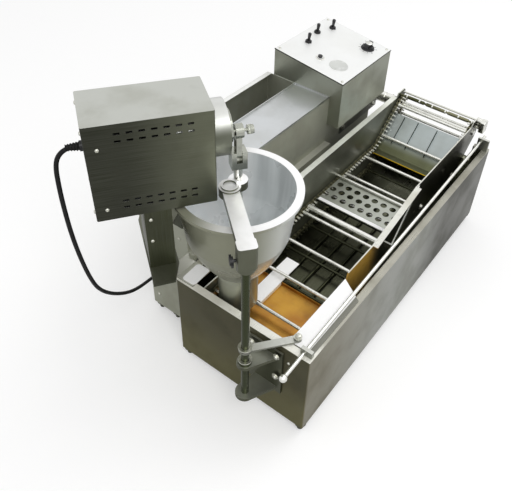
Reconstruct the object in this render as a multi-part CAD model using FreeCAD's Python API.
import FreeCAD
import Part
import math
import os

# Automatic donut machine, all sizes in millimetres
# +Z is up, +X runs from the depositor to the discharge end, -Y is the side the operator
# stands at. The pieces are drawn from the point on the counter under the fryer case's centre,
# and the last lines carry them all to the centre of the machine's own footprint.

Vector = FreeCAD.Vector

# Sheet stock and clearances
sheet = 2.0
plate = 3.0
running = 0.05
gap = 0.3

# Fryer case and the kettle in it
case_length = 882.0
case_width = 343.0
foot_height = 21.0
foot_radius = 9.0
foot_tip = 7.0
foot_collar = 13.0
foot_collar_thick = 4.0
foot_inset = 13.0
rim_z = 256.0
case_corner = 4.0
kettle_margin = 14.0
kettle_corner = 12.0
kettle_floor_z = 104.0
notch_sill_z = 205.0
notch_margin = 18.0
half_length = case_length / 2
half_width = case_width / 2
case_left = -half_length
case_right = half_length
kettle_x = half_length - kettle_margin
kettle_y = half_width - kettle_margin
inside_x = kettle_x - sheet
inside_y = kettle_y - sheet
floor_z = kettle_floor_z + sheet

# Conveyor: side plates and chain path, placed from the case's two ends
side_near = -110.0
side_far = 128.0
side_gap = 2.0
near_inner = side_near + plate
far_inner = side_far - plate
notch_low = side_near - notch_margin
notch_high = side_far + notch_margin
chain_width = 8.0
chain_half = 6.0
link_pitch = 12.7
link_notch = 4.0
near_chain_y = near_inner + side_gap
far_chain_y = far_inner - side_gap - chain_width
bars_low = near_chain_y + chain_width
bars_high = far_chain_y
idler_x = case_left + 63.0
idler_z = 165.0
idler_radius = 35.0
idler_shaft_radius = 8.0
drive_x = case_right + 9.0
drive_z = 280.0
drive_radius = 22.0
drive_shaft_radius = 8.0
drive_sleeve_radius = 11.0
incline = 40.0
bend_radius = 60.0
flight_spacing = 101.6
first_flight_x = idler_x + 28.0
flight_radius = 4.0
pusher_radius = 7.0
low_top = 225.0
rail_top = 307.0
ear_top = 319.0
ear_length = 20.0
flange_width = 12.0
plate_foot = 30.0
plate_margin = 12.0
rail_end_left = idler_x - 32.0

# Turner between the two halves of the kettle
turner_x = case_right - 323.0
turner_z = 214.0
turner_depth = 114.0
turner_shaft_radius = 4.0
turner_thick = 2.0
turner_lip = 6.0
turner_clear = 4.0
turner_hole = 8.5
turner_rows = 3
turner_row_first = 35.0
turner_row_step = 27.0
turner_row_skew = 5.5
turner_columns = 8
turner_hole_step = 26.3
turner_hole_edge = 5.0
turner_low = bars_low + turner_clear
turner_high = bars_high - turner_clear
pusher_x = turner_x - 143.0

# Where the side plates rise, each from a low rail to the high one
near_step = 262.0
near_low_end = idler_x + 163.0
near_rise = (turner_x - 218.0, turner_x - 18.0)
far_step = low_top + 1.0
far_low_end = idler_x + 118.0
far_rise = (turner_x - 358.0, turner_x - 158.0)
strap_height = 14.0
strap_stand = 18.0
strap_high_x = near_rise[1] + 8.0
strap_low_x = near_rise[0] + 59.0
strap_low_z = near_step - 36.0

# Plates that the doughnuts fall on and leave over
drop_z = 178.0
drop_left = idler_x - 6.0
drop_right = idler_x + 120.0
drop_ears = (idler_x + 68.0, idler_x + 108.0)
drop_clear = 3.0
drop_lip = 8.0
guide_left = idler_x + 42.0
guide_right = idler_x + 186.0
guide_leg_end = idler_x + 116.0
guide_low_y = 25.0
guide_high_y = 60.0
guide_height = 8.0
outfeed_left = drive_x - 150.0
outfeed_right = drive_x - 32.0
outfeed_thick = 1.5
outfeed_under = 12.0
lane_lines = (-22.0, 38.0, 82.0)
lane_rib = 4.0
lane_length = 66.0

# Guard and roller rods across the discharge end
guard_x = drive_x + 18.0
guard_z = ear_top - 8.0
guard_radius = 3.0
guard_over = 16.0
roller_x = drive_x - 4.0
roller_z = ear_top - 7.0
sleeve_radius = 5.0
sleeve_margin = 20.0
sleeve_gap = 7.0
sleeve_count = 3

# Rear housing, its lid, the trough and the drive cabinet
base_front = half_width + sheet
base_depth = 146.0
base_back = base_front + base_depth
base_top = 298.0
shelf_z = 275.0
housing_front = base_front + 17.5
housing_back = housing_front + 109.0
housing_top = 409.0
housing_left = case_left + 59.0
lid_edge = 6.0
sheet_corner = 2.5
trough_back = housing_back + 90.0
trough_rise = 3.0
trough_lip = 14.0
cabinet_right = drive_x - 52.0
cabinet_left = cabinet_right - 246.0
housing_right = cabinet_left
cabinet_front = housing_front + 4.0
cabinet_back = cabinet_front + 160.0
rear_foot_y = base_front + 80.0

# Bracket that the gear motor is bolted to, on the cabinet's front
bracket_left = cabinet_left + 79.0
bracket_right = drive_x - 18.0
bracket_low = 256.0
bracket_high = 313.0

# Gear motor and coupling of the conveyor
gear_front = cabinet_front + 10.0
gear_depth = 46.0
gear_half = 28.0
motor_radius = 24.0
motor_length = 74.0
coupling_low = side_far + 13.0
coupling_radius = 16.0
coupling_groove = 13.5
groove_start = 26.0
groove_width = 4.0

# Control box and what is on its panel, placed from the box's front left corner
box_front = cabinet_front - 39.0
box_back = cabinet_back + 14.0
box_bottom = 330.0
box_front_top = 460.0
box_back_top = 487.0
panel_thick = 2.5
toggle_places = [(cabinet_left + 95.0, box_front + 173.0),
                 (cabinet_left + 155.0, box_front + 185.0),
                 (cabinet_left + 209.0, box_front + 170.0)]
toggle_pin = 3.3
toggle_pin_half = 3.2
toggle_hole = 5.0
toggle_root = 2.3
toggle_tip = 3.6
toggle_reach = 23.0
collar_radius = 7.0
collar_height = 5.0
knob_place = (cabinet_left + 200.0, box_front + 48.0)
knob_radius = 17.0
knob_skirt = 4.0
knob_grip = 12.0
knob_shaft = 4.0
knob_shaft_length = 10.0
button_place = (cabinet_left + 56.0, box_front + 108.0)
button_radius = 6.0
button_height = 7.0
bezel_width = 2.5
bezel_height = 3.0

# Trim at the depositor's end of the kettle
ledge_front = 6.0
ledge_right = idler_x + 123.0
ledge_tip = idler_x + 158.0

# Heating element under the conveyor
heater_radius = 4.0
heater_turn = 22.0
heater_rows = 4
heater_front_y = -66.0
heater_left = idler_x + 78.0
heater_right = turner_x + 102.0

# Drain at the discharge end
drain_z = 66.0
drain_pipe = 9.0
drain_body = 12.0
drain_neck = 6.0
drain_spout = 8.0
drain_steps = (8.0, 16.0, 26.0, 33.0)
drain_neck_x = case_right + 17.0
handle_hub = 9.0
handle_hub_height = 5.0
handle_width = 12.0
handle_length = 58.0
handle_thick = 4.0

# Trip rod along the front rim, with its guides and its lever
rod_left = (case_left - 59.0, -half_width + 19.5, rim_z + 5.5)
rod_right = (case_right + 11.0, -half_width + 25.5, rim_z + 26.0)
trip_radius = 4.0
trip_ball = 8.0
guide_places = (case_left + 13.0, case_right - 16.0)
eye_thick = 8.0
eye_margin = 9.0
eye_front = 3.0
lever_radius = 9.0
lever_length = 14.0
lever_width = 12.0
lever_drop = 22.0

# Plunger's axis, and the drive head turned about it
plunger_x = case_left + 65.0
plunger_y = 56.0
head_turn = -35.0
head_top = 720.0
head_height = 187.0
head_bottom = head_top - head_height
head_left = -250.0
head_right = -46.0
head_front = -34.0
head_back = 74.0
head_corner = 3.0
head_floor = 3.0
vent_first = 46.0
vent_step = 19.0
vent_count = 7
vent_length = 10.0
vent_height = 4.0
vent_rows = (head_top - 20.0, head_top - 34.0, head_bottom + 34.0, head_bottom + 20.0)
column_left = -174.0
column_right = -127.0
column_back = head_back - 30.0
column_bottom = housing_top - 9.0
foot_front = head_front - 44.0
foot_thick = 4.0
foot_flange = 60.0
foot_web_y = housing_front + 51.0
motor_block_top = head_bottom + 120.0
motor_can_radius = 30.0
motor_can_t = 20.0

# Crank, link and clevis, hung from the crank shaft's height
crank_z = head_top - 70.0
crank_t = 20.0
crank_throw = 20.0
crank_pin = 5.0
crank_shaft = 12.0
crank_disc_radius = 30.0
boss_radius = 50.0
boss_end = -10.0
disc_thick = 8.0
link_hub = 13.0
link_slack = 0.8
link_play = 4.0
link_half = 5.0
link_bar = 9.0
link_front = 8.0
link_back = -6.0
knob_stem = 3.0
link_knob = 8.0
clevis_pin_z = crank_z - 47.0
clevis_top = crank_z - 39.0
clevis_pin = 4.0
clevis_width = 28.0
clevis_depth = 24.0
clevis_floor = 14.0
plunger_top = crank_z - 75.0
plunger_radius = 8.0

# Hopper, its cylinder and the piston
arm_bottom = plunger_top - 44.0
hopper_rim_z = arm_bottom - 4.0
hopper_radius = 122.0
hopper_wall = 4.0
rim_width = 15.0
rim_thick = 7.0
bowl_steps = ((0.287, 4.0), (0.502, 10.0))
bowl_middle = (0.7656, 78.0)
cylinder_bore = 26.0
cylinder_radius = 41.0
cylinder_flange = 5.0
flange_thick = 8.0
neck_rise = 6.0
neck_widen = 4.0
cylinder_bottom = 220.0
cylinder_top = 318.0
piston_low = cylinder_bottom + 42.0
piston_length = 26.0
cutter_radius = 20.0
cutter_drop = 4.5

# Post and arm
post_x = case_left - 51.0
post_y = -57.0
post_radius = 8.0
post_bottom = 101.0
post_collar = 13.0
collar_thick = 6.0
arm_thick = 14.0
arm_width = 34.0
arm_angle = 51.0
arm_block_bottom = arm_bottom - 46.0
post_top = arm_bottom + 7.0
guide_radius = 18.0
hub_short = 19.8
lower_ear_z = 112.0
upper_ear_z = 213.0
ear_thick = 8.0
ear_radii = (20.0, 17.0)
bracket_plate = 4.0
bracket_y = (post_y - 55.0, post_y + 29.0)
brace_bolt = (case_left + 30.0, post_y - 65.0)
brace_thick = 4.0
brace_half = 8.0

# Supply cord, from the head's left side to the rear housing's back panel
# Each bend is (past the case's end, behind the housing's back, share of the upper gland's height)
cord_radius = 4.0
gland_radius = 9.0
gland_length = 5.0
gland_z = crank_z + 2.0
gland_t = 20.0
cord_exit = (case_left + 210.0, base_back + gland_length, 44.0)
cord_bends = [
    (-156.5, -84.0, 0.9896),
    (-164.8, -80.0, 0.9712),
    (-170.0, -81.0, 0.945),
    (-173.0, -83.5, 0.905),
    (-174.5, -85.0, 0.847),
    (-172.0, -83.5, 0.750),
    (-163.0, -77.5, 0.642),
    (-146.0, -67.5, 0.511),
    (-124.0, -56.5, 0.407),
    (-74.0, -34.5, 0.2915),
    (-8.0, -9.5, 0.186),
    (70.0, 19.5, 0.116),
    (116.0, 34.5, 0.0845),
    (145.5, 44.5, 0.0736),
]
cord_turn = ((-39.2, 49.0), (-26.1, 48.9), (-14.1, 43.8), (-4.9, 34.5), (0.0, 22.5))

made = []


def save(name, shape):
    """Keeps one named piece until all are made."""
    made.append((name, shape))


def block(x0, x1, y0, y1, z0, z1):
    """A box between two corners."""
    return Part.makeBox(x1 - x0, y1 - y0, z1 - z0, Vector(x0, y0, z0))


def rod(radius, start, end):
    """A round bar from one point to another."""
    line = Vector(*end) - Vector(*start)
    return Part.makeCylinder(radius, line.Length, Vector(*start), line)


def rod_x(radius, x0, x1, y, z):
    """A round bar along X."""
    return rod(radius, (x0, y, z), (x1, y, z))


def rod_y(radius, x, y0, y1, z):
    """A round bar across the machine."""
    return rod(radius, (x, y0, z), (x, y1, z))


def rod_z(radius, x, y, z0, z1):
    """An upright round bar."""
    return rod(radius, (x, y, z0), (x, y, z1))


def ring(outer, inner, start, end):
    """A tube from one point to another."""
    return rod(outer, start, end).cut(rod(inner, start, end))


def slab(outline, normal, low, high):
    """A flat outline pulled along X, Y or Z between two heights."""
    if normal == "Y":
        points = [Vector(a, low, b) for a, b in outline]
        pull = Vector(0, high - low, 0)
    elif normal == "X":
        points = [Vector(low, a, b) for a, b in outline]
        pull = Vector(high - low, 0, 0)
    else:
        points = [Vector(a, b, low) for a, b in outline]
        pull = Vector(0, 0, high - low)
    face = Part.Face(Part.makePolygon(points + points[:1]))
    return face.extrude(pull)


def upright_edges(shape, radius, keep=None):
    """Rounds the edges that stand along Z, or only those that keep() accepts."""
    chosen = []
    for edge in shape.Edges:
        a = edge.Vertexes[0].Point
        b = edge.Vertexes[-1].Point
        if abs(a.x - b.x) + abs(a.y - b.y) < 1e-6 and abs(a.z - b.z) > 1e-6:
            if keep is None or keep(a):
                chosen.append(edge)
    return shape.makeFillet(radius, chosen)


def pan(x0, x1, y0, y1, z0, z1, wall, corner):
    """An open-topped sheet box with rounded upright corners."""
    outer = upright_edges(block(x0, x1, y0, y1, z0, z1), corner)
    inner = block(x0 + wall, x1 - wall, y0 + wall, y1 - wall, z0 + wall, z1 + wall)
    inner = upright_edges(inner, corner - wall * 0.5)
    return outer.cut(inner)


def polar(radius, degrees):
    """A step of one radius in the plane of the conveyor, as (x, z)."""
    angle = math.radians(degrees)
    return radius * math.cos(angle), radius * math.sin(angle)


def turned(shape, degrees, x, y):
    """Turns a shape made round the upright axis at the origin, and carries it to its place."""
    copy = shape.copy()
    copy.rotate(Vector(0, 0, 0), Vector(0, 0, 1), degrees)
    copy.translate(Vector(x, y, 0))
    return copy


def fryer_case():
    shell = pan(case_left, case_right, -half_width, half_width,
                foot_height, rim_z - sheet, sheet, case_corner)
    notch = block(case_right - 2 * sheet, case_right + sheet, notch_low, notch_high,
                  notch_sill_z - sheet, rim_z)
    return shell.cut(notch)


def kettle_tank():
    tank = pan(-kettle_x, kettle_x, -kettle_y, kettle_y, kettle_floor_z, rim_z, sheet, kettle_corner)
    rim = upright_edges(block(case_left, case_right, -half_width, half_width,
                              rim_z - sheet, rim_z), case_corner)
    hole = upright_edges(block(-inside_x, inside_x, -inside_y, inside_y,
                               rim_z - 2 * sheet, rim_z + sheet), kettle_corner - sheet * 0.5)
    body = tank.fuse(rim.cut(hole))
    way_out = block(inside_x - sheet, case_right + sheet, notch_low, notch_high,
                    notch_sill_z, rim_z + sheet)
    body = body.cut(way_out)
    sill = block(inside_x, case_right, notch_low, notch_high, notch_sill_z - sheet, notch_sill_z)
    body = body.fuse(sill)
    for y in (notch_low - sheet, notch_high):
        cheek = block(inside_x, case_right - sheet, y, y + sheet, notch_sill_z - sheet, rim_z)
        body = body.fuse(cheek)
    return body.removeSplitter()


def feet(places):
    """Turned feet, each with a collar at its top."""
    made_feet = []
    for x, y in places:
        stem = Part.makeCone(foot_tip, foot_radius, foot_height - foot_collar_thick, Vector(x, y, 0))
        collar = rod_z(foot_collar, x, y, foot_height - foot_collar_thick, foot_height)
        made_feet.append(stem.fuse(collar))
    return Part.makeCompound(made_feet)


def hollow(outline, inner, normal, low, high, wall):
    """A closed sheet housing: an outline pulled along an axis, less its inside."""
    return slab(outline, normal, low, high).cut(slab(inner, normal, low + wall, high - wall))


def rear_housing():
    outline = [(base_front, foot_height), (base_back, foot_height), (base_back, base_top),
               (housing_back, base_top), (housing_back, housing_top),
               (housing_front, housing_top), (housing_front, shelf_z), (base_front, shelf_z)]
    s = sheet
    inner = [(base_front + s, foot_height + s), (base_back - s, foot_height + s),
             (base_back - s, base_top - s), (housing_back - s, base_top - s),
             (housing_back - s, housing_top + s), (housing_front + s, housing_top + s),
             (housing_front + s, shelf_z - s), (base_front + s, shelf_z - s)]
    return hollow(outline, inner, "X", housing_left, housing_right, s)


def housing_lid():
    return pan(housing_left, housing_right, housing_front, housing_back,
               housing_top, housing_top + lid_edge, sheet, sheet_corner)


def trough():
    top = housing_top + trough_rise
    tub = pan(housing_left, housing_right, housing_back, trough_back, base_top, top, sheet, sheet_corner)
    lip = block(housing_left, housing_right, trough_back - trough_lip, trough_back, top - sheet, top)
    return tub.fuse(lip).removeSplitter()


def drive_cabinet():
    s = sheet
    outline = [(cabinet_front, foot_height), (cabinet_back, foot_height),
               (cabinet_back, box_bottom), (cabinet_front, box_bottom)]
    inner = [(cabinet_front + s, foot_height + s), (cabinet_back - s, foot_height + s),
             (cabinet_back - s, box_bottom - s), (cabinet_front + s, box_bottom - s)]
    return hollow(outline, inner, "X", cabinet_left, cabinet_right, s)


# The control box's top slopes, and the panel on it slopes with it
panel_slope = math.degrees(math.atan2(box_back_top - box_front_top, box_back - box_front))
panel_rise = math.tan(math.radians(panel_slope))
panel_lift = panel_thick / math.cos(math.radians(panel_slope))
panel_deep = 4 * panel_thick


def control_box():
    outline = [(box_front, box_bottom), (box_back, box_bottom),
               (box_back, box_back_top), (box_front, box_front_top)]
    s = sheet
    over = box_front_top - box_bottom
    inner = [(box_front + s, box_bottom + s), (box_back - s, box_bottom + s),
             (box_back - s, box_back_top - panel_rise * s + over),
             (box_front + s, box_front_top + panel_rise * s + over)]
    return hollow(outline, inner, "X", cabinet_left, cabinet_right, s)


def on_panel(shape, place):
    """Carries a piece made round Z at the origin to a place on the sloping panel's top."""
    x, y = place
    z = box_front_top + (y - box_front) * panel_rise
    copy = shape.copy()
    copy.rotate(Vector(0, 0, 0), Vector(1, 0, 0), panel_slope)
    copy.translate(Vector(x, y, z + panel_lift))
    return copy


def control_panel():
    """The white sheet, with a collar for each toggle, a bezel for the button and the knob's hole."""
    outline = [(box_front, box_front_top), (box_back, box_back_top),
               (box_back, box_back_top + panel_lift), (box_front, box_front_top + panel_lift)]
    body = slab(outline, "X", cabinet_left, cabinet_right)
    fittings = [(place, toggle_hole, collar_radius, collar_height) for place in toggle_places]
    fittings.append((knob_place, knob_shaft + running, 0.0, 0.0))
    fittings.append((button_place, button_radius + running, button_radius + bezel_width, bezel_height))
    for place, hole, outer, height in fittings:
        body = body.cut(on_panel(rod_z(hole, 0, 0, -panel_deep, panel_deep), place))
        if height > 0:
            body = body.fuse(on_panel(ring(outer, hole, (0, 0, -0.01), (0, 0, height)), place))
    return body


def toggle():
    """A bat lever on its cross pin, standing in its collar."""
    centre = collar_height / 2
    pivot = rod_x(toggle_pin, -toggle_pin_half, toggle_pin_half, 0, centre)
    bat = Part.makeCone(toggle_root, toggle_tip, toggle_reach, Vector(0, 0, centre))
    return pivot.fuse(bat).removeSplitter()


def thermostat_knob():
    """A skirted knob with two flats, on its shaft."""
    grip_top = gap + knob_skirt + knob_grip
    skirt = Part.makeCone(knob_radius + sheet, knob_radius, knob_skirt, Vector(0, 0, gap))
    grip = rod_z(knob_radius - sheet, 0, 0, gap + knob_skirt, grip_top)
    flat = knob_radius * 0.35
    for side in (-1, 1):
        y0, y1 = sorted((side * flat, side * knob_radius * 1.3))
        cut = block(-knob_radius, knob_radius, y0, y1, gap + knob_skirt + sheet, grip_top + 1.0)
        grip = grip.cut(cut)
    shaft = rod_z(knob_shaft, 0, 0, -knob_shaft_length, gap)
    return skirt.fuse([grip, shaft]).removeSplitter()


def push_button():
    return rod_z(button_radius, 0, 0, -button_height, button_height)


def gear_bracket():
    """The plate on the cabinet's front that steadies the gear motor."""
    return block(bracket_left, bracket_right, cabinet_front - plate, cabinet_front,
                 bracket_low, bracket_high)


def drive_gearmotor():
    """Gear case on the cabinet's right side, with its motor behind."""
    gear_back = gear_front + gear_depth
    case = block(cabinet_right, drive_x + gear_half, gear_front, gear_back,
                 drive_z - gear_half, drive_z + gear_half)
    can = rod_y(motor_radius, drive_x, gear_back, gear_back + motor_length, drive_z)
    return case.fuse(can).removeSplitter()


# Chain path in the plane of the conveyor, as a loop of lines and arcs
slope = math.radians(incline)
top_z = idler_z + idler_radius
low_z = idler_z - idler_radius
lift_x = drive_x - drive_radius * math.sin(slope)
lift_z = drive_z + drive_radius * math.cos(slope)
drop_x = drive_x + drive_radius * math.sin(slope)
fall_z = drive_z - drive_radius * math.cos(slope)
top_corner = lift_x - (lift_z - top_z) / math.tan(slope)
low_corner = drop_x - (fall_z - low_z) / math.tan(slope)
bend_back = bend_radius * math.tan(slope / 2)
top_bend = (top_corner - bend_back, top_z + bend_radius)
low_bend = (low_corner - bend_back, low_z + bend_radius)


def at(x, z, y=0.0):
    return Vector(x, y, z)


def arc(centre, radius, start, middle, end, y):
    """An arc in the conveyor's plane, by three angles in degrees from +X."""
    points = []
    for degrees in (start, middle, end):
        dx, dz = polar(radius, degrees)
        points.append(at(centre[0] + dx, centre[1] + dz, y))
    return Part.Arc(*points).toShape()


def comb(start, end, depth):
    """A run of chain seen from the side: a crest for each link and a notch between."""
    line = end - start
    count = int(line.Length / link_pitch)
    along = Vector(line) * (1.0 / count)
    inward = Vector(along.z, 0, -along.x).normalize() * depth
    points = [start]
    for i in range(count):
        base = start + along * i
        points.append(base + along * 0.3)
        points.append(base + along * 0.3 + inward)
        points.append(base + along * 0.7 + inward)
        points.append(base + along * 0.7)
    points.append(end)
    return Part.makePolygon(points).Edges


def chain_edges(offset, y, depth=0.0, start_x=None):
    """The chain path moved outwards by an offset, its upper runs notched where a depth is given."""
    ix = idler_x if start_x is None else start_x
    idler = (idler_x, idler_z)
    drive = (drive_x, drive_z)
    up = 90.0 + incline
    down = -90.0 + incline
    inner = bend_radius - offset
    outer = bend_radius + offset
    dx, dz = polar(inner, down)
    lift_start = at(top_bend[0] + dx, top_bend[1] + dz, y)
    dx, dz = polar(drive_radius + offset, up)
    lift_end = at(drive_x + dx, drive_z + dz, y)
    dx, dz = polar(drive_radius + offset, down)
    drop_start = at(drive_x + dx, drive_z + dz, y)
    dx, dz = polar(outer, down)
    drop_end = at(low_bend[0] + dx, low_bend[1] + dz, y)
    top_start = at(ix, top_z + offset, y)
    top_end = at(top_bend[0], top_bend[1] - inner, y)
    low_start = at(low_bend[0], low_bend[1] - outer, y)
    low_end = at(idler_x, idler_z - idler_radius - offset, y)
    edges = []
    if depth > 0:
        edges += comb(top_start, top_end, depth)
    else:
        edges.append(Part.makeLine(top_start, top_end))
    edges.append(arc(top_bend, inner, -90.0, down - incline / 2, down, y))
    if depth > 0:
        edges += comb(lift_start, lift_end, depth)
    else:
        edges.append(Part.makeLine(lift_start, lift_end))
    edges.append(arc(drive, drive_radius + offset, up, incline, down, y))
    edges.append(Part.makeLine(drop_start, drop_end))
    edges.append(arc(low_bend, outer, down, down - incline / 2, -90.0, y))
    edges.append(Part.makeLine(low_start, low_end))
    edges.append(arc(idler, idler_radius + offset, -90.0, 180.0, 90.0, y))
    if start_x is not None:
        edges.append(Part.makeLine(at(idler_x, top_z + offset, y), top_start))
    return edges


def chain(y):
    outer = Part.Wire(chain_edges(chain_half, y, link_notch))
    inner = Part.Wire(chain_edges(-chain_half, y))
    band = Part.Face(outer).cut(Part.Face(inner))
    return band.extrude(Vector(0, chain_width, 0))


def flight_bars():
    """Cross bars at even steps round the whole chain, with one thicker pusher."""
    path = Part.Wire(chain_edges(0.0, 0.0, 0.0, first_flight_x))
    count = int(round(path.Length / flight_spacing))
    bars = []
    for point in path.discretize(Number=count + 1)[:-1]:
        bars.append(rod_y(flight_radius, point.x, bars_low, bars_high, point.z))
    pusher_z = top_z + chain_half + 1.0 - flight_radius
    bars.append(rod_y(pusher_radius, pusher_x, bars_low, bars_high, pusher_z))
    return Part.makeCompound(bars)


def side_outline(low_end, low_z1, step_x, rise_start, rise_end):
    """The side plate's outline: low at the depositor, high over the incline, two feet below."""
    base = low_z - chain_half - plate_margin * 0.5
    dx, dz = polar(drive_radius + plate_margin, -90.0 + incline)
    end_x = drive_x + dx
    end_z = drive_z + dz
    base_corner = end_x - (end_z - base) / math.tan(slope)
    nose = drive_x + drive_radius + chain_half + sheet
    ear_cut = ear_length * 0.35
    outline = [(rail_end_left, base), (rail_end_left, low_z1), (step_x, low_z1)]
    outline += [(step_x + ear_length / 2, low_end), (rise_start, low_end), (rise_end, rail_top)]
    outline += [(drive_x - ear_length, rail_top), (drive_x - plate_margin, ear_top),
                (nose - ear_cut, ear_top)]
    outline += [(nose, ear_top - ear_cut), (nose, drive_z - plate_margin), (end_x, end_z)]
    outline.append((base_corner, base))
    for right in (outfeed_left - ear_length, first_flight_x):
        left = right - plate_foot
        outline += [(right, base), (right, floor_z), (left, floor_z), (left, base)]
    return outline


def side_plate(y, outline, flange_top, side):
    """One side of the conveyor, with its bearings' holes and its bent flange."""
    body = slab(outline, "Y", y, y + plate)
    outside = y if side < 0 else y + plate
    y0, y1 = sorted((outside, outside + side * flange_width))
    flange = flange_top + [(x, z - sheet) for x, z in reversed(flange_top)]
    body = body.fuse(slab(flange, "Y", y0, y1))
    holes = [
        (drive_shaft_radius + running, drive_x, drive_z),
        (idler_shaft_radius + running, idler_x, idler_z),
        (turner_shaft_radius + running, turner_x, turner_z),
        (guard_radius, guard_x, guard_z),
        (guard_radius, roller_x, roller_z),
    ]
    for radius, x, z in holes:
        body = body.cut(rod_y(radius, x, y - flange_width, y + flange_width, z))
    return body.removeSplitter()


def near_side_plate():
    outline = side_outline(near_step, low_top, near_low_end, near_rise[0], near_rise[1])
    top = [(near_rise[0], near_step), (near_rise[1], rail_top)]
    return side_plate(side_near, outline, top, -1)


def far_side_plate():
    outline = side_outline(far_step, low_top, far_low_end, far_rise[0], far_rise[1])
    top = [(far_rise[0], far_step), (far_rise[1], rail_top), (drive_x - ear_length, rail_top)]
    return side_plate(far_inner, outline, top, 1)


def rail_strap():
    """A twisted strap that stands off the near plate, below its flange."""
    half = strap_height / 2
    high = (strap_high_x, side_near, rail_top - half)
    low = (strap_low_x, side_near - strap_stand, strap_low_z)
    ends = []
    for x, y, z in (high, low):
        corners = [(x, y, z - half), (x, y - plate, z - half), (x, y - plate, z + half), (x, y, z + half)]
        points = [Vector(*corner) for corner in corners]
        ends.append(Part.makePolygon(points + points[:1]))
    strap = Part.makeLoft(ends, True, True)
    leg = block(low[0] - plate, low[0] + sheet, low[1] - plate, side_near, low[2] - half, low[2] + half)
    return strap.fuse(leg).removeSplitter()


def drop_plate():
    """The stained plate the dough falls past, hung between the side plates."""
    low = bars_low + drop_clear
    high = bars_high - drop_clear
    body = block(drop_left, drop_right, low, high, drop_z, drop_z + sheet)
    ears = block(drop_ears[0], drop_ears[1], near_inner, far_inner, drop_z, drop_z + sheet)
    lip = block(drop_right - sheet, drop_right, low, high, drop_z, drop_z + drop_lip)
    return body.fuse([ears, lip]).removeSplitter()


def donut_guide():
    """A light channel that keeps the two rows apart, standing on the drop plate."""
    low = drop_z + sheet
    high = low + guide_height
    top = block(guide_left, guide_right, guide_low_y, guide_high_y, high, high + sheet)
    legs = []
    for y in (guide_low_y, guide_high_y - sheet):
        legs.append(block(guide_left, guide_leg_end, y, y + sheet, low, high))
    return top.fuse(legs).removeSplitter()


def outfeed_plate():
    """The pale plate under the incline, bent once, with its lane dividers."""
    back = outfeed_under * math.tan(slope / 2)
    level = top_z - outfeed_under
    corner_x = top_corner + back
    end_z = level + (outfeed_right - corner_x) * math.tan(slope)
    t = outfeed_thick
    outline = [(outfeed_left, level), (corner_x, level), (outfeed_right, end_z),
               (outfeed_right + t * math.sin(slope), end_z - t * math.cos(slope)),
               (corner_x + t * math.tan(slope / 2), level - t), (outfeed_left, level - t)]
    body = slab(outline, "Y", near_inner, far_inner)
    lane_end = outfeed_right - lane_rib
    for y in lane_lines:
        rib = []
        for x in (lane_end - lane_length, lane_end):
            z = level + (x - corner_x) * math.tan(slope)
            rib.append((x, z - t * 0.3))
        for x in (lane_end, lane_end - lane_length):
            z = level + (x - corner_x) * math.tan(slope)
            rib.append((x - lane_rib * math.sin(slope), z + lane_rib * math.cos(slope)))
        body = body.fuse(slab(rib, "Y", y - sheet / 2, y + sheet / 2))
    return body.removeSplitter()


def exit_guard():
    """A guard rod and a roller rod with its sleeves, across the discharge end."""
    guard = rod_y(guard_radius, guard_x, side_near - guard_over, side_far, guard_z)
    roller = rod_y(guard_radius, roller_x, side_near, side_far, roller_z)
    first = side_near + sleeve_margin
    room = side_far - sleeve_margin - first + sleeve_gap
    step = room / sleeve_count
    sleeves = []
    for i in range(sleeve_count):
        low = first + i * step
        sleeves.append(rod_y(sleeve_radius, roller_x, low, low + step - sleeve_gap, roller_z))
    return Part.makeCompound([guard, roller.fuse(sleeves).removeSplitter()])


def drive_shaft():
    shaft = rod_y(drive_shaft_radius, drive_x, side_near - 4.0, coupling_low, drive_z)
    sleeve = rod_y(drive_sleeve_radius, drive_x, bars_low + 1.0, bars_high - 1.0, drive_z)
    return shaft.fuse(sleeve).removeSplitter()


def sprockets(x, z, radius, shaft):
    """Two plain chain wheels on one shaft."""
    wheels = []
    for y in (near_chain_y, far_chain_y):
        low = y + gap
        high = y + chain_width - gap
        wheels.append(rod_y(radius, x, low, high, z).cut(rod_y(shaft, x, low, high, z)))
    return Part.makeCompound(wheels)


def shaft_coupling():
    body = rod_y(coupling_radius, drive_x, coupling_low, gear_front - gap, drive_z)
    start = coupling_low + groove_start
    groove = ring(coupling_radius + 1.0, coupling_groove, (drive_x, start, drive_z),
                  (drive_x, start + groove_width, drive_z))
    return body.cut(groove)


def cross_shaft(radius, x, z):
    """A shaft that ends flush with both side plates."""
    return rod_y(radius, x, side_near, side_far, z)


def turner_plate():
    """A perforated plate with a lip, on top of which its shaft is welded."""
    top = turner_z - turner_shaft_radius
    low = top - turner_thick
    x0 = turner_x - turner_depth
    body = block(x0, turner_x + turner_thick, turner_low, turner_high, low, top)
    rim = block(x0 - turner_thick, x0, turner_low, turner_high, low, low + turner_lip)
    body = body.fuse(rim)
    for row in range(turner_rows):
        x = x0 + turner_row_first + row * turner_row_step
        for column in range(turner_columns):
            y = turner_high - turner_hole_edge - row * turner_row_skew - column * turner_hole_step
            body = body.cut(rod_z(turner_hole, x, y, low - turner_lip, top + turner_lip))
    return body.removeSplitter()


def near_ledge():
    low = sheet - inside_x
    outline = [(low, ledge_front - half_width), (ledge_right, ledge_front - half_width),
               (ledge_tip, side_near - 1.0), (low, side_near - 1.0)]
    return slab(outline, "Z", rim_z, rim_z + sheet)


def corner_plate():
    low = case_left + 2 * sheet
    flat = block(low, housing_left + sheet, side_far, half_width, rim_z, rim_z + sheet)
    rise = [(half_width - sheet, rim_z), (half_width, rim_z), (housing_front - gap, shelf_z),
            (housing_front - gap - sheet, shelf_z)]
    apron = slab(rise, "X", low, housing_left - gap)
    return flat.fuse(apron).removeSplitter()


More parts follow.
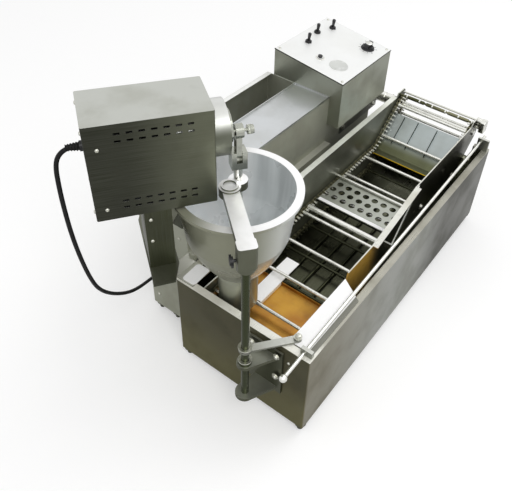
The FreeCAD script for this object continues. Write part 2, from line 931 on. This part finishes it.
def heating_element():
    """One tube bent to and fro along the kettle's floor."""
    r = heater_radius
    z = floor_z + r + gap
    rows = [heater_front_y + 2 * heater_turn * i for i in range(heater_rows)]
    tubes = []
    for i, y in enumerate(rows):
        tubes.append(rod_x(r, heater_left, heater_right, y, z))
        if i + 1 < len(rows):
            right = i % 2 == 0
            x = heater_right if right else heater_left
            reach = 2 * heater_turn
            bow = Part.makeTorus(heater_turn, r, Vector(x, y + heater_turn, z), Vector(0, 0, 1))
            x0, x1 = (x, x + reach) if right else (x - reach, x)
            half = block(x0, x1, y - 2 * r, y + 2 * heater_turn + 2 * r, z - 2 * r, z + 2 * r)
            tubes.append(bow.common(half))
    return tubes[0].fuse(tubes[1:]).removeSplitter()


def drain_valve():
    x0, x1, x2, x3 = (case_right + step for step in drain_steps)
    pipe = rod_x(drain_pipe, case_right, x1, 0, drain_z)
    valve = rod_x(drain_body, x0, x2, 0, drain_z)
    neck = rod_z(drain_neck, drain_neck_x, 0, drain_z, drain_z + drain_body + handle_hub_height)
    spout = rod_x(drain_spout, x2, x3, 0, drain_z)
    return pipe.fuse([valve, neck, spout]).removeSplitter()


def drain_handle():
    z = drain_z + drain_body + handle_hub_height + gap
    half = handle_width / 2
    hub = rod_z(handle_hub, drain_neck_x, 0, z, z + handle_hub_height)
    lever = block(drain_neck_x - half, drain_neck_x + half, -handle_length, 0, z, z + handle_thick)
    return hub.fuse(lever).removeSplitter()


def rod_at(x):
    """The trip rod's axis at one x."""
    share = (x - rod_left[0]) / (rod_right[0] - rod_left[0])
    return tuple(a + (b - a) * share for a, b in zip(rod_left, rod_right))


def rod_guides():
    """Two eyes that carry the trip rod on the case's front rim."""
    eyes = []
    half = eye_thick / 2
    for x in guide_places:
        cy, cz = rod_at(x)[1:]
        eye = block(x - half, x + half, eye_front - half_width, cy + eye_margin, rim_z, cz + eye_margin)
        bore = rod(trip_radius + running, rod_at(x - eye_thick), rod_at(x + eye_thick))
        eyes.append(eye.cut(bore))
    return Part.makeCompound(eyes)


def trip_rod():
    body = rod(trip_radius, rod_left, rod_right)
    ball = Part.makeSphere(trip_ball, Vector(*rod_left))
    return body.fuse(ball).removeSplitter()


def trip_lever():
    """The bright rocker at the discharge end that the trip rod works."""
    high = side_near - gap
    low = high - lever_length
    half = lever_width / 2
    hub = rod_y(lever_radius, guard_x, low, high, guard_z)
    arm = block(guard_x - half, guard_x + half, low + plate, high, guard_z - lever_drop, guard_z)
    bore = rod_y(guard_radius + running, guard_x, low, high, guard_z)
    return hub.fuse(arm).cut(bore).removeSplitter()


def local(shape):
    """Carries a depositor piece from the plunger's own axes to the machine's."""
    return turned(shape, head_turn, plunger_x, plunger_y)


def head_cover():
    s = sheet
    outer = upright_edges(block(head_left, head_right, head_front, head_back, head_bottom, head_top),
                          head_corner)
    inner = block(head_left + s, head_right - s, head_front + s, head_back - s,
                  head_bottom - 1.0, head_top - s)
    shell = outer.cut(inner)
    slots = []
    for z in vent_rows:
        for i in range(vent_count):
            start = head_left + vent_first + i * vent_step
            slots.append(block(start, start + vent_length, head_front - 1.0, head_front + s + 1.0,
                               z, z + vent_height))
    shell = shell.cut(Part.makeCompound(slots))
    window = rod_x(boss_radius + gap, head_right - 2 * s, head_right + 2 * s, crank_t, crank_z)
    return local(shell.cut(window))


def head_column():
    """Column that carries the drive head, with the head's floor plate."""
    column = block(column_left, column_right, head_front, column_back, column_bottom, head_bottom)
    inside = block(column_left + plate, column_right - plate, head_front + plate, column_back - plate,
                   column_bottom - 1.0, head_bottom + 1.0)
    inset = sheet + gap
    floor = block(head_left + inset, head_right - inset, head_front + inset, head_back - inset,
                  head_bottom, head_bottom + head_floor)
    return local(column.cut(inside).fuse(floor).removeSplitter())


def head_foot():
    """The foot plate that carries the column, bolted to the rear housing's left panel."""
    panel = []
    front = housing_front + 9.0
    turn = math.radians(-head_turn)
    for y in (front, housing_back):
        dx = housing_left - plunger_x
        dy = y - plunger_y
        panel.append((dx * math.cos(turn) - dy * math.sin(turn), dx * math.sin(turn) + dy * math.cos(turn)))
    left = column_left - sheet
    right = column_right + 5.0
    outline = [(left, foot_front), (column_right - 10.0, foot_front), (right, head_front),
               (right, column_back + 16.0), panel[0], panel[1], (left, head_back + 26.0)]
    top = local(slab(outline, "Z", column_bottom - foot_thick, column_bottom))
    flange = block(housing_left - plate, housing_left, front, housing_back - 5.0,
                   column_bottom - foot_flange, column_bottom)
    web = slab([(housing_left, column_bottom), (housing_left, column_bottom - foot_flange),
                (housing_left - foot_flange, column_bottom)], "Y", foot_web_y, foot_web_y + plate)
    return top.fuse([flange, web]).removeSplitter()


def deposit_motor():
    """Gearbox and motor on the head's floor plate, all inside the cover."""
    inset = 16.0
    gearbox = block(head_left + 2 * inset, head_right - 60.0, head_front + inset, head_back - inset,
                    head_bottom + head_floor, motor_block_top)
    can = rod_z(motor_can_radius, head_left + 70.0, motor_can_t, motor_block_top, head_top - 12.0)
    return local(gearbox.fuse(can).removeSplitter())


def shaft_boss():
    """The turned boss through the head's end, bored for the crank's shaft."""
    body = rod_x(boss_radius, head_right - 60.0, boss_end - disc_thick, crank_t, crank_z)
    bore = rod_x(crank_shaft + running, head_right - 40.0, boss_end, crank_t, crank_z)
    return local(body.cut(bore))


def crank():
    """Crank disc on its shaft, with the pin level with the shaft at rest."""
    back = boss_end - disc_thick + gap
    shaft = rod_x(crank_shaft, head_right - 30.0, back, crank_t, crank_z)
    disc = rod_x(crank_disc_radius, back, boss_end, crank_t, crank_z)
    pin = rod_x(crank_pin, boss_end, link_half - 1.0, crank_t - crank_throw, crank_z)
    return local(shaft.fuse([disc, pin]).removeSplitter())


def link_rod():
    """Link from the crank pin to the plunger: a slotted hub, a bar and a knob."""
    hub = rod_x(link_hub, link_back, link_front, 0, crank_z)
    hole = crank_pin + link_slack
    start = link_back - 1.0
    slot = block(start, link_half, -link_play, link_play, crank_z - hole, crank_z + hole)
    slot = slot.fuse([rod_x(hole, start, link_half, t, crank_z) for t in (-link_play, link_play)])
    bar = block(-link_half, link_half, -link_bar, link_bar, clevis_pin_z, crank_z)
    eye = rod_x(link_bar, -link_half, link_half, 0, clevis_pin_z)
    stem_end = link_front + link_knob
    stem = rod_x(knob_stem, link_front, stem_end, 0, crank_z)
    knob = rod_x(link_knob, stem_end, stem_end + link_knob + plate, 0, crank_z)
    body = hub.fuse([bar, eye, stem, knob]).cut(slot)
    bore = rod_x(clevis_pin + running, -link_half, link_half, 0, clevis_pin_z)
    return local(body.cut(bore).removeSplitter())


def clevis_fork():
    """Fork on the plunger's top with the pin the link turns on."""
    s = clevis_width / 2
    t = clevis_depth / 2
    body = block(-s, s, -t, t, plunger_top, clevis_top)
    body = body.cut(block(-link_half - gap, link_half + gap, -t, t, plunger_top + clevis_floor, clevis_top))
    pin = rod_x(clevis_pin, -s, s, 0, clevis_pin_z)
    return local(body.fuse(pin).removeSplitter())


def revolved(outline):
    """Turns an outline of (radius, height) all round the plunger's axis."""
    points = [Vector(radius, 0, height) for radius, height in outline]
    face = Part.Face(Part.makePolygon(points + points[:1]))
    return local(face.revolve(Vector(0, 0, 0), Vector(0, 0, 1), 360))


def plunger():
    """Plunger rod with the piston and the cutter disc at its foot."""
    r = plunger_radius
    piston = cylinder_bore - running
    foot_z = cylinder_bottom - cutter_drop
    high = piston_low + piston_length
    return revolved([
        (0, foot_z), (cutter_radius - 2.0, foot_z), (cutter_radius, foot_z + 2.0), (r, foot_z + 10.0),
        (r, piston_low), (piston - 2.0, piston_low + 2.0), (piston, piston_low + 4.0),
        (piston, high - 6.0), (piston - 4.0, high), (r, high + 12.0), (r, plunger_top), (0, plunger_top),
    ])


def bowl_wall(inset, lift):
    """The bowl's wall from its rim down to its neck, as (radius, height) points and one arc."""
    depth = hopper_rim_z - cylinder_top
    top_radius = hopper_radius - rim_width + hopper_wall - inset
    points = [(top_radius - narrow, hopper_rim_z - depth * share) for share, narrow in bowl_steps]
    share, radius = bowl_middle
    middle = (radius - inset * 1.1, hopper_rim_z - depth * share + inset * 0.5)
    neck = (cylinder_radius + cylinder_flange, cylinder_top)
    if inset > 0:
        neck = (cylinder_bore + neck_widen, cylinder_top + lift)
    return top_radius, points, middle, neck


def hopper():
    """The cast bowl: a flat rim, a near-straight wall and a curved bottom into the neck."""
    top = hopper_rim_z
    out_top, out_steps, out_middle, out_neck = bowl_wall(0.0, 0.0)
    in_top, in_steps, in_middle, in_neck = bowl_wall(hopper_wall, neck_rise)
    lines = [(in_top, top), (hopper_radius, top), (hopper_radius, top - rim_thick),
             (out_top, top - rim_thick)] + out_steps
    points = [Vector(radius, 0, height) for radius, height in lines]
    edges = [Part.makeLine(a, b) for a, b in zip(points, points[1:])]
    edges.append(Part.Arc(points[-1], at(*out_middle), at(*out_neck)).toShape())
    points = [at(*out_neck), at(in_neck[0], cylinder_top), at(*in_neck)]
    edges += [Part.makeLine(a, b) for a, b in zip(points, points[1:])]
    points = [at(*place) for place in reversed(in_steps)] + [at(in_top, top)]
    edges.append(Part.Arc(at(*in_neck), at(*in_middle), points[0]).toShape())
    edges += [Part.makeLine(a, b) for a, b in zip(points, points[1:])]
    face = Part.Face(Part.Wire(Part.__sortEdges__(edges)))
    return local(face.revolve(Vector(0, 0, 0), Vector(0, 0, 1), 360))


def hopper_cylinder():
    """The metering cylinder under the bowl."""
    wide = cylinder_radius + cylinder_flange
    return revolved([
        (cylinder_bore, cylinder_bottom), (cylinder_radius, cylinder_bottom),
        (cylinder_radius, cylinder_top - flange_thick), (wide, cylinder_top - flange_thick),
        (wide, cylinder_top), (cylinder_bore, cylinder_top),
    ])


def on_arm(shape):
    """Carries a piece from the post's own axes, the arm along X, to the machine's."""
    return turned(shape, arm_angle, post_x, post_y)


# Where the plunger stands, seen from the post: how far along the arm, and how far aside
arm_way = math.radians(arm_angle)
post_dx = plunger_x - post_x
post_dy = plunger_y - post_y
arm_reach = post_dx * math.cos(arm_way) + post_dy * math.sin(arm_way)
arm_aside = post_dy * math.cos(arm_way) - post_dx * math.sin(arm_way)
hub_at = arm_reach - hub_short


def hopper_arm():
    """Arm from the post over the bowl's rim to the boss that guides the plunger."""
    h = arm_width / 2
    top = arm_bottom + arm_thick
    bar = block(0, hub_at, sheet - h, h - sheet, arm_bottom, top)
    end = rod_z(h, 0, 0, arm_block_bottom, top)
    square = block(-h, collar_thick, -h, h, arm_block_bottom + 10.0, top)
    square = upright_edges(square, collar_thick, lambda p: p.x < 0)
    hub = rod_z(guide_radius + sheet, hub_at, 0, arm_bottom - sheet, top + plate)
    cup = ring(guide_radius - sheet, guide_radius - 2 * plate, (hub_at, 0, top + plate),
               (hub_at, 0, top + 2 * plate))
    rim_at = arm_reach - math.sqrt((hopper_radius - sheet) ** 2 - arm_aside ** 2)
    pad = block(rim_at - sheet, rim_at + rim_width - 2 * sheet, -h + 2 * sheet, h - 2 * sheet,
                hopper_rim_z, arm_bottom)
    body = on_arm(bar.fuse([end, square, hub, cup, pad]))
    body = body.fuse(rod_z(guide_radius, plunger_x, plunger_y, arm_bottom - sheet, top))
    bore = rod_z(plunger_radius + running, plunger_x, plunger_y, arm_block_bottom, plunger_top)
    post_bore = rod_z(post_radius + running, post_x, post_y, arm_block_bottom, post_top + gap)
    return body.cut(bore).cut(post_bore).removeSplitter()


def hopper_post():
    """The round post in its two ears, with the collar the arm rests on."""
    body = rod_z(post_radius, post_x, post_y, post_bottom, post_top)
    collar_top = arm_block_bottom - gap
    collar = rod_z(post_collar, post_x, post_y, collar_top - collar_thick, collar_top)
    seat = upper_ear_z + ear_thick
    upper = rod_z(post_collar + 1.0, post_x, post_y, seat, seat + collar_thick + 1.0)
    head = rod_z(post_collar - 1.0, post_x, post_y, post_bottom, lower_ear_z)
    return body.fuse([collar, upper, head]).removeSplitter()


def post_bracket():
    """Two ears on one plate, bolted to the case's end panel."""
    ears = []
    for z, radius in zip((lower_ear_z, upper_ear_z), ear_radii):
        tip = rod_z(radius, post_x, post_y, z, z + ear_thick)
        root = case_left - bracket_plate / 2
        web = slab([(root, bracket_y[0] + 8.0), (root, bracket_y[1] - 18.0),
                    (post_x + 6.0, post_y + radius - 1.0), (post_x - 8.0, post_y - radius + 2.0)],
                   "Z", z, z + ear_thick)
        ears += [tip, web]
    back = block(case_left - bracket_plate, case_left, bracket_y[0], bracket_y[1],
                 lower_ear_z - 10.0, upper_ear_z + 23.0)
    body = back.fuse(ears)
    hole = rod_z(post_radius, post_x, post_y, post_bottom, upper_ear_z + 2 * ear_thick)
    return body.cut(hole).removeSplitter()


def brace_strap():
    """A flat strap from the post to the kettle's rim."""
    z = rim_z + sheet
    high = z + brace_thick
    dx = brace_bolt[0] - post_x
    dy = brace_bolt[1] - post_y
    reach = math.hypot(dx, dy)
    strap = block(0, reach, -brace_half, brace_half, z, high)
    bolt = rod_z(brace_half - plate, reach, 0, high, high + brace_thick)
    ends = [rod_z(post_collar, 0, 0, z, high), rod_z(brace_half, reach, 0, z, high), bolt]
    strap = strap.fuse(ends).cut(rod_z(post_radius, 0, 0, z, high))
    return turned(strap, math.degrees(math.atan2(dy, dx)), post_x, post_y).removeSplitter()


def arm_clamp_knob():
    """Thumb screw in the side of the arm's end block."""
    z = arm_block_bottom + 22.0
    start = arm_width / 2
    head_at = start + 5.0
    screw = rod_y(plate, 0, start + gap, head_at, z)
    head = rod_y(brace_half, 0, head_at, head_at + collar_thick, z)
    wing = block(-post_collar, post_collar, head_at + 1.0, head_at + 5.0, z - plate, z + plate)
    return on_arm(screw.fuse([head, wing])).removeSplitter()


def head_point(s, t, z):
    """A point given in the plunger's own axes, as the machine's numbers."""
    way = math.radians(head_turn)
    return (plunger_x + s * math.cos(way) - t * math.sin(way),
            plunger_y + s * math.sin(way) + t * math.cos(way), z)


cord_start = head_point(head_left - gland_length, gland_t, gland_z)
cord_out = head_point(head_left - gland_length - 4 * cord_radius, gland_t, gland_z)
cord_route = [cord_start, cord_out]
cord_route += [(case_left + x, base_back + y, gland_z * share) for x, y, share in cord_bends]
cord_route += [(cord_exit[0] + x, base_back + y + gland_length, cord_exit[2]) for x, y in cord_turn]
cord_route.append(cord_exit)


def cord_glands():
    """The two strain reliefs: on the head's left side and on the housing's back."""
    x, y, z = cord_exit
    upper = local(rod_x(gland_radius, head_left - gland_length, head_left, gland_t, gland_z))
    return Part.makeCompound([upper, rod_y(gland_radius, x, base_back, y, z)])


def cord():
    """The cord as straight runs joined by tangent arcs."""
    points = [Vector(*p) for p in cord_route]
    edges = []
    radii = []
    last = points[0]
    for before, here, after in zip(points, points[1:], points[2:]):
        a = before - here
        b = after - here
        shorter = min(a.Length, b.Length)
        turn = math.pi - a.getAngle(b)
        step = 0.45 * shorter
        radii.append(step / math.tan(turn / 2))
        start = here + a.normalize() * step
        end = here + b.normalize() * step
        centre_way = (a + b).normalize()
        reach = radii[-1] / math.cos(turn / 2) - radii[-1]
        edges.append(Part.makeLine(last, start))
        edges.append(Part.Arc(start, here + centre_way * reach, end).toShape())
        last = end
    edges.append(Part.makeLine(last, points[-1]))
    path = Part.Wire(edges)
    first = points[1] - points[0]
    section = Part.Wire(Part.makeCircle(cord_radius, points[0], first))
    tube = path.makePipeShell([section], True, False, 2)
    print("cord route", [[round(c, 1) for c in p] for p in cord_route])
    print("cord radii", [round(r, 1) for r in radii])
    print("cord length", round(path.Length, 1), "volume ratio",
          round(tube.Volume / (path.Length * math.pi * cord_radius ** 2), 4))
    return tube


case_feet = [(x, y) for x in (case_left + foot_inset, case_right - foot_inset)
             for y in (foot_inset - half_width, half_width - foot_inset)]
rear_feet = [(housing_left + foot_inset, rear_foot_y), (housing_left + foot_inset, base_back - foot_inset),
             (cabinet_right - foot_inset, cabinet_front + foot_inset),
             (cabinet_right - foot_inset, cabinet_back - foot_inset)]

save("fryer_case", fryer_case())
save("kettle_tank", kettle_tank())
save("case_feet", feet(case_feet))
save("housing_feet", feet(rear_feet))
save("rear_housing", rear_housing())
save("housing_lid", housing_lid())
save("side_trough", trough())
save("drive_cabinet", drive_cabinet())
save("control_box", control_box())
save("control_panel", control_panel())
save("gear_bracket", gear_bracket())
save("drive_gearmotor", drive_gearmotor())
for letter, place in zip("abc", toggle_places):
    save("toggle_" + letter, on_panel(toggle(), place))
save("thermostat_knob", on_panel(thermostat_knob(), knob_place))
save("push_button", on_panel(push_button(), button_place))

save("near_side_plate", near_side_plate())
save("far_side_plate", far_side_plate())
save("near_rail_strap", rail_strap())
save("near_chain", chain(near_chain_y))
save("far_chain", chain(far_chain_y))
save("flight_bars", flight_bars())
save("drop_plate", drop_plate())
save("donut_guide", donut_guide())
save("outfeed_plate", outfeed_plate())
save("exit_guard", exit_guard())
save("drive_shaft", drive_shaft())
save("drive_sprockets", sprockets(drive_x, drive_z, drive_radius - chain_half - gap, drive_shaft_radius))
save("shaft_coupling", shaft_coupling())
save("idler_shaft", cross_shaft(idler_shaft_radius, idler_x, idler_z))
save("idler_sprockets", sprockets(idler_x, idler_z, idler_radius - chain_half - gap, idler_shaft_radius))
save("turner_plate", turner_plate())
save("turner_shaft", cross_shaft(turner_shaft_radius, turner_x, turner_z))
save("near_ledge", near_ledge())
save("corner_plate", corner_plate())
save("heating_element", heating_element())
save("drain_valve", drain_valve())
save("drain_handle", drain_handle())
save("rod_guides", rod_guides())
save("trip_rod", trip_rod())
save("trip_lever", trip_lever())

save("head_cover", head_cover())
save("head_column", head_column())
save("head_foot", head_foot())
save("deposit_motor", deposit_motor())
save("shaft_boss", shaft_boss())
save("crank_disc", crank())
save("link_rod", link_rod())
save("clevis_fork", clevis_fork())
save("plunger_rod", plunger())
save("hopper", hopper())
save("hopper_cylinder", hopper_cylinder())
save("hopper_arm", hopper_arm())
save("hopper_post", hopper_post())
save("post_bracket", post_bracket())
save("brace_strap", brace_strap())
save("arm_clamp_knob", arm_clamp_knob())
save("cord_glands", cord_glands())
save("power_cord", cord())

# The cord and its glands are left out of the footprint, because the cord lies free
cord_nodes = ("cord_glands", "power_cord")
extent = Part.makeCompound([shape for name, shape in made if name not in cord_nodes])
extent = extent.optimalBoundingBox(False, False)
middle = Vector((extent.XMin + extent.XMax) / 2, (extent.YMin + extent.YMax) / 2, 0)
os.makedirs("parts", exist_ok=True)
for name, shape in made:
    placed = shape.translated(middle * -1)
    placed.exportStep("parts/" + name + ".step")
    print(name, len(placed.Solids), round(placed.Volume))
print("case centre at", round(-middle.x, 4), round(-middle.y, 4))
print("machine", [round(v, 3) for v in (extent.XLength, extent.YLength, extent.ZMin, extent.ZMax)])
